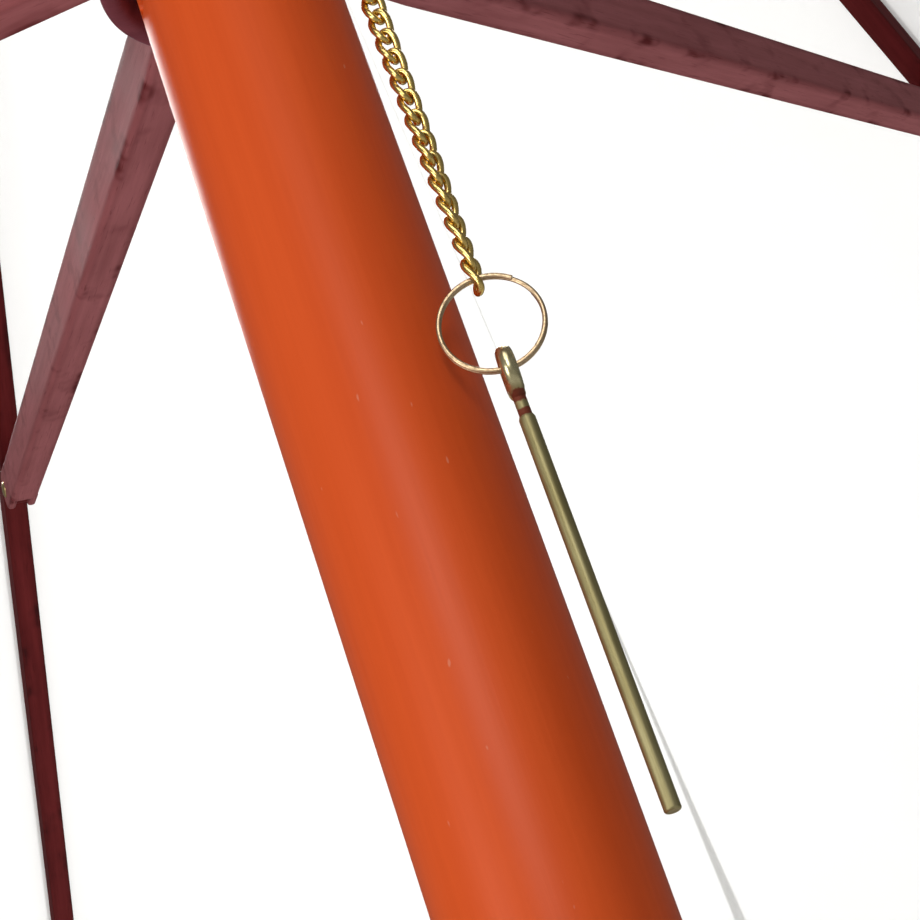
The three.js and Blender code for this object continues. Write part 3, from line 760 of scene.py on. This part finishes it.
def makeCanopy():
    half = math.pi / ribCount
    slant = (canopy["outer"] - canopy["inner"]) / math.cos(slope)
    widest = canopy["outer"] * math.cos(half) * math.sin(half)
    flat = (widest / math.cos(half) * 1.02, slant)
    for k in range(1, ribCount + 1):
        turn = Matrix.Rotation(2 * math.pi * (k - 1) / ribCount, 4, "Z")
        for side, label in ((-1, "A"), (1, "B")):
            points, faces, weave = halfGore(side)
            piece = meshPiece(f"canopy{k}{label}", moved(points, turn), faces)
            layer = piece.data.attributes.new("weave", "FLOAT_VECTOR", "POINT")
            layer.data.foreach_set("vector", weave.astype(np.float32).ravel())
            dress(piece, canopyCloth, "cloth", f"rib_{k}", f"canopy_{k}")
            piece.visible_diffuse = piece.visible_glossy = False  # it glows, but doesn't light the frame
            # across the cloth, square to the rib, in the plane of the rib's line and the chord
            ridge = Vector((math.cos(slope), 0, -math.sin(slope)))
            across = Vector((-math.sin(half) * math.sin(half),
                             side * math.cos(half) * math.sin(half), 0))
            across = (across - ridge * across.dot(ridge)).normalized()
            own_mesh(piece)
            0.5 * flat[0] * flat[1]


makeCanopy()
print("canopy made")

# The lock pin on its chain.
lock = {"pitch": 5.7 * mm, "linkWire": 0.84 * mm, "linkWidth": 5.7 * mm,
        "ringWire": 0.58 * mm, "ringFlat": 0.7, "pinRadius": 1.85 * mm, "neckRadius": 1.45 * mm, "neckLength": 6.4 * mm, "eyeWire": 1.85 * mm,
        "eyeRadius": 4.55 * mm, "twist": 1.25}
chainBox, ringBox, pinBox, eyeBox = (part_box(n) for n in ("chain", "split_ring", "lock_pin", "screw_eye"))
hang = Vector(jointOf["chain_swing"]["pos_m"])
facing = math.atan2(jointOf["ring_swing"]["axis"][0], -jointOf["ring_swing"]["axis"][1])
aroundChain = Matrix.Translation((hang.x, hang.y, 0)) @ Matrix.Rotation(facing, 4, "Z")


def curbLink(count=40):
    # an oval of wire, twisted so that it lies against its neighbours: half length times sin t, half width
    # times cos t, and out of its plane by 1.15 wire radii times sin 2t
    t = np.linspace(0, 2 * np.pi, count, endpoint=False)
    long = (lock["pitch"] / 2 + lock["linkWire"] * 1.55) * np.sin(t)
    wide = (lock["linkWidth"] / 2 - lock["linkWire"]) * np.cos(t) * (1 - 0.12 * np.sin(t) ** 2)
    lift = lock["linkWire"] * 1.15 * np.sin(2 * t)
    return np.stack([lift, wide, long], -1)


def makeChain():
    top, bottom = chainBox[1].z, chainBox[0].z
    count = int(round((top - bottom) / lock["pitch"]))
    pitch = (top - bottom) / count
    link = curbLink()
    parts = []
    for i in range(count + 1):
        share = i / count
        turn = lock["twist"] * np.clip((share - 0.35) / 0.6, 0, 1)
        c, s = math.cos(turn), math.sin(turn)
        path = np.stack([link[:, 0] * c - link[:, 1] * s,
                         link[:, 0] * s + link[:, 1] * c, link[:, 2]], -1)
        parts.append(swept(path + [0, 0, top - pitch * i], lock["linkWire"], 10, closed=True))
    points, faces = joined(parts)
    chain = meshPiece("curbChain", moved(points, aroundChain), faces)
    dress(chain, chainBrass, "chain_brass", "chain", "chain")


def makeRing():
    # two turns of wire side by side: the offset goes from one side to the other over one crossover
    centre = (ringBox[0].z + ringBox[1].z) / 2
    outer = (ringBox[1].z - ringBox[0].z) / 2
    t = np.linspace(0, 4 * np.pi - 0.5, 220)
    start = math.radians(159)
    r = outer - lock["ringWire"]
    side = (np.clip((t - 1.75 * np.pi) / (0.5 * np.pi), 0, 1) * 2 - 1) * lock["ringWire"] * 1.02
    path = np.stack([side, -r * np.cos(t + start), centre + r * np.sin(t + start)], -1)
    points, faces = swept(path, lock["ringWire"], 14)
    points = points * [lock["ringFlat"], 1, 1]  # rolled flat, so that the two turns lie close
    ring = meshPiece("splitRing", moved(points, aroundChain), faces)
    dress(ring, ringBrass, "chain_brass", "split_ring", "split_ring")


def pinFinish(neckZ, shoulderZ):
    # drawn bar, dull and streaked along its length; red-brown solder round the neck under a brighter eye
    kit = Finish("pinBrass")
    at = kit.place()
    height = kit.split(at)[2]
    streak = kit.noise(kit.stretch(at, (1, 1, 0.03)), 1900, 4, 0.65)
    patch = kit.noise(kit.stretch(at, (1, 1, 0.3)), 160, 3)
    worn = (streak * 0.6 + patch * 0.7 - 0.15).step(0.2, 0.9)
    dull = kit.mix(worn, (0.30, 0.25, 0.105), (0.50, 0.445, 0.235))
    eye = height.step(neckZ, neckZ + 1.5 * mm)
    film = kit.noise(at, 420, 2).step(0.35, 0.8)
    bright = kit.mix(film * 0.6, (0.68, 0.60, 0.34), (0.20, 0.16, 0.07))
    colour = kit.mix(eye, dull, bright)
    wander = (kit.noise(at, 520, 2) - 0.5) * (1.8 * mm)
    upper = 1 - (height + wander - (neckZ - 0.7 * mm)).size().step(0.7 * mm, 1.2 * mm)
    lower = 1 - (height + wander - (shoulderZ + 0.9 * mm)).size().step(0.6 * mm, 1.1 * mm)
    solder = upper.combine("MAXIMUM", upper, lower)
    colour = kit.mix(solder * 0.95, colour, (0.19, 0.026, 0.010))
    rough = 0.46 + patch * 0.12 - eye * 0.24 + solder * 0.2
    normal = kit.bump(streak + solder * 1.5, 0.25, 0.00008)
    return kit.done(kit.surface({"Base Color": colour, "Roughness": rough, "Metallic": 0.92 - solder * 0.5,
                                 "Normal": normal}))


def makeLockPin():
    # one bar: the rod runs up to a thinner neck, then bends round into an eye that closes on the neck;
    # its radius goes from the rod's to the neck's over a short shoulder
    eyeTop, rodFoot = pinBox[1].z, pinBox[0].z
    r = lock["eyeRadius"]
    centre = eyeTop - lock["eyeWire"] - r
    neckZ = centre - r - 1.2 * mm
    shoulderZ = centre - r - lock["neckLength"]
    t = np.linspace(-0.5 * np.pi + 0.34, 1.5 * np.pi - 0.34, 84)
    loop = np.stack([r * np.cos(t), np.zeros(84), centre + r * np.sin(t)], -1)
    edge = np.linspace(0, 1, 5)
    foot = rodFoot + 0.5 * mm * edge * 0.98
    stem = np.concatenate([foot, np.linspace(rodFoot + 0.5 * mm, shoulderZ - 0.6 * mm, 48),
                           np.linspace(shoulderZ - 0.4 * mm, shoulderZ + 0.4 * mm, 6),
                           np.linspace(shoulderZ + 0.8 * mm, neckZ, 10)])
    radius = np.interp(stem, [shoulderZ - 0.5 * mm, shoulderZ + 0.4 * mm],
                       [lock["pinRadius"], lock["neckRadius"]])
    radius[:5] = lock["pinRadius"] - 0.4 * mm * (1 - np.sqrt(edge))
    bend = np.linspace(0, 1, 9)[1:-1]
    ease = bend * bend * (3 - 2 * bend)
    middle = np.stack([loop[0, 0] * ease, 0 * bend, neckZ + (loop[0, 2] - neckZ) * bend], -1)
    path = np.concatenate([np.stack([0 * stem, 0 * stem, stem], -1), middle, loop])
    grow = np.linspace(lock["neckRadius"], lock["eyeWire"], len(middle))
    radius = np.concatenate([radius, grow, np.full(len(loop) - 1, lock["eyeWire"]),
                             [lock["eyeWire"] * 0.8]])
    bead = np.linspace(-1, 1, 13)
    beadPath = np.stack([0.2 * mm + 0 * bead, 0 * bead, neckZ + 0.9 * mm + bead * 1.6 * mm], -1)
    beadRadius = 1.75 * mm * np.sqrt(np.clip(1 - bead ** 2, 0.03, 1))
    points, faces = joined([swept(path, radius, 28), swept(beadPath, beadRadius, 20)])
    pin = meshPiece("lockPin", moved(points, aroundChain), faces)
    dress(pin, pinFinish(neckZ, shoulderZ), "pin_brass", "lock_pin", "lock_pin")


def makeScrewEye():
    azimuth = math.atan2(hang.y, hang.x)
    centre = (eyeBox[0].z + eyeBox[1].z) / 2
    wire = 0.8 * mm
    r = (eyeBox[1].z - eyeBox[0].z) / 2 - wire
    far = math.hypot(hang.x, hang.y)
    t = np.linspace(0, 2 * np.pi, 40, endpoint=False)
    loop = np.stack([far + r * np.cos(t), 0 * t, centre + r * np.sin(t)], -1)
    neck = np.linspace(far - r - 6 * mm, far - r + 0.3 * mm, 14)
    shank = np.stack([neck, 0 * neck, centre + 0 * neck], -1)
    points, faces = joined([swept(loop, wire, 12, closed=True), swept(shank, 1.0 * mm, 12)])
    piece = meshPiece("screwEye", moved(points, Matrix.Rotation(azimuth, 4, "Z")), faces)
    dress(piece, fittingBrass, "chain_brass", "runner", "screw_eye")


makeChain()
makeRing()
makeLockPin()
makeScrewEye()
nodes["joint_stud"].data.materials.clear()
nodes["joint_stud"].data.materials.append(wireSteel)
print("chain, ring and lock pin made")

# Floor, light and camera.
look = {"away": 483.93 * mm, "below": 406.06 * mm, "side": -106.63, "pan": 1.5303, "tilt": 25.28,
        "roll": -19.583, "focal": 95.27}


def makeCamera():
    # stands beside the pole under the runner and looks up past it; pan, tilt and roll are in that order
    side = math.radians(look["side"])
    spot = Vector((look["away"] * math.cos(side), look["away"] * math.sin(side),
                   runnerZ - look["below"]))
    heading = side + math.pi - math.radians(look["pan"])
    tilt = math.radians(look["tilt"])
    ahead = Vector((math.cos(heading) * math.cos(tilt), math.sin(heading) * math.cos(tilt),
                    math.sin(tilt)))
    right = Vector((math.sin(heading), -math.cos(heading), 0))
    up = right.cross(ahead)
    roll = math.radians(look["roll"])
    rolledRight = math.cos(roll) * right + math.sin(roll) * up
    rolledUp = math.cos(roll) * up - math.sin(roll) * right
    turn = Matrix((rolledRight, rolledUp, -ahead)).transposed().to_4x4()
    data = bpy.data.cameras.new("camera")
    data.lens, data.sensor_width = look["focal"], 36
    data.clip_start, data.clip_end = 0.02, 60
    camera = bpy.data.objects.new("camera", data)
    camera.matrix_world = Matrix.Translation(spot) @ turn
    bpy.context.scene.collection.objects.link(camera)
    bpy.context.scene.camera = camera
    return spot, ahead, right


def areaLight(name, spot, aim, size, power, colour=(1, 1, 1)):
    data = bpy.data.lights.new(name, "AREA")
    data.shape, data.size, data.energy, data.color = "DISK", size, power, colour
    lamp = bpy.data.objects.new(name, data)
    lamp.location = spot
    lamp.rotation_mode = "QUATERNION"
    lamp.rotation_quaternion = (Vector(aim) - Vector(spot)).to_track_quat("-Z", "Y")
    bpy.context.scene.collection.objects.link(lamp)


def makeStage(spot, ahead, right):
    floor = meshPiece("floor", *turned([(60, 0), (0.01, 0)], 64))
    kit = Finish("floorPaint")
    shade = kit.mix(kit.noise(kit.place(), 1.6, 3), (0.86, 0.86, 0.85), (0.90, 0.90, 0.89))
    floor.data.materials.append(kit.done(kit.surface({"Base Color": shade, "Roughness": 0.8})))
    floor.location.z = -0.0005
    world = bpy.data.worlds.new("studio")
    world.use_nodes = True
    tree = world.node_tree  # pale behind the object, dim as a light
    seen = tree.nodes.new("ShaderNodeMapRange")
    tree.links.new(tree.nodes.new("ShaderNodeLightPath").outputs["Is Camera Ray"], seen.inputs[0])
    seen.inputs[3].default_value, seen.inputs[4].default_value = 0.16, 0.86
    tree.links.new(seen.outputs[0], tree.nodes["Background"].inputs[1])
    tree.nodes["Background"].inputs[0].default_value = (1, 1, 1, 1)
    bpy.context.scene.world = world
    bpy.context.scene.view_settings.view_transform = "Standard"
    areaLight("topPanel", Vector((0.2, 1.6, 3.8)), Vector((0.1, 0.7, 2.1)), 2.4, 112)
    areaLight("backPanel", Vector((-0.6, -1.9, 3.6)), Vector((0, -0.6, 2.1)), 2.0, 40)
    flat = Vector((ahead.x, ahead.y, 0)).normalized()
    left = spot - right * 1.25 - flat * 0.75 + Vector((0, 0, 0.05))
    areaLight("leftPanel", left, Vector((0, 0, runnerZ - 0.18)), 0.8, 14)
    front = Vector((spot.x, spot.y, 0)).normalized() * 0.7 + Vector((0, 0, runnerZ + 0.01))
    areaLight("frontPanel", front, Vector((0, 0, runnerZ - 0.3)), 0.28, 1.35)


makeStage(*makeCamera())
print("stage, light and camera made")
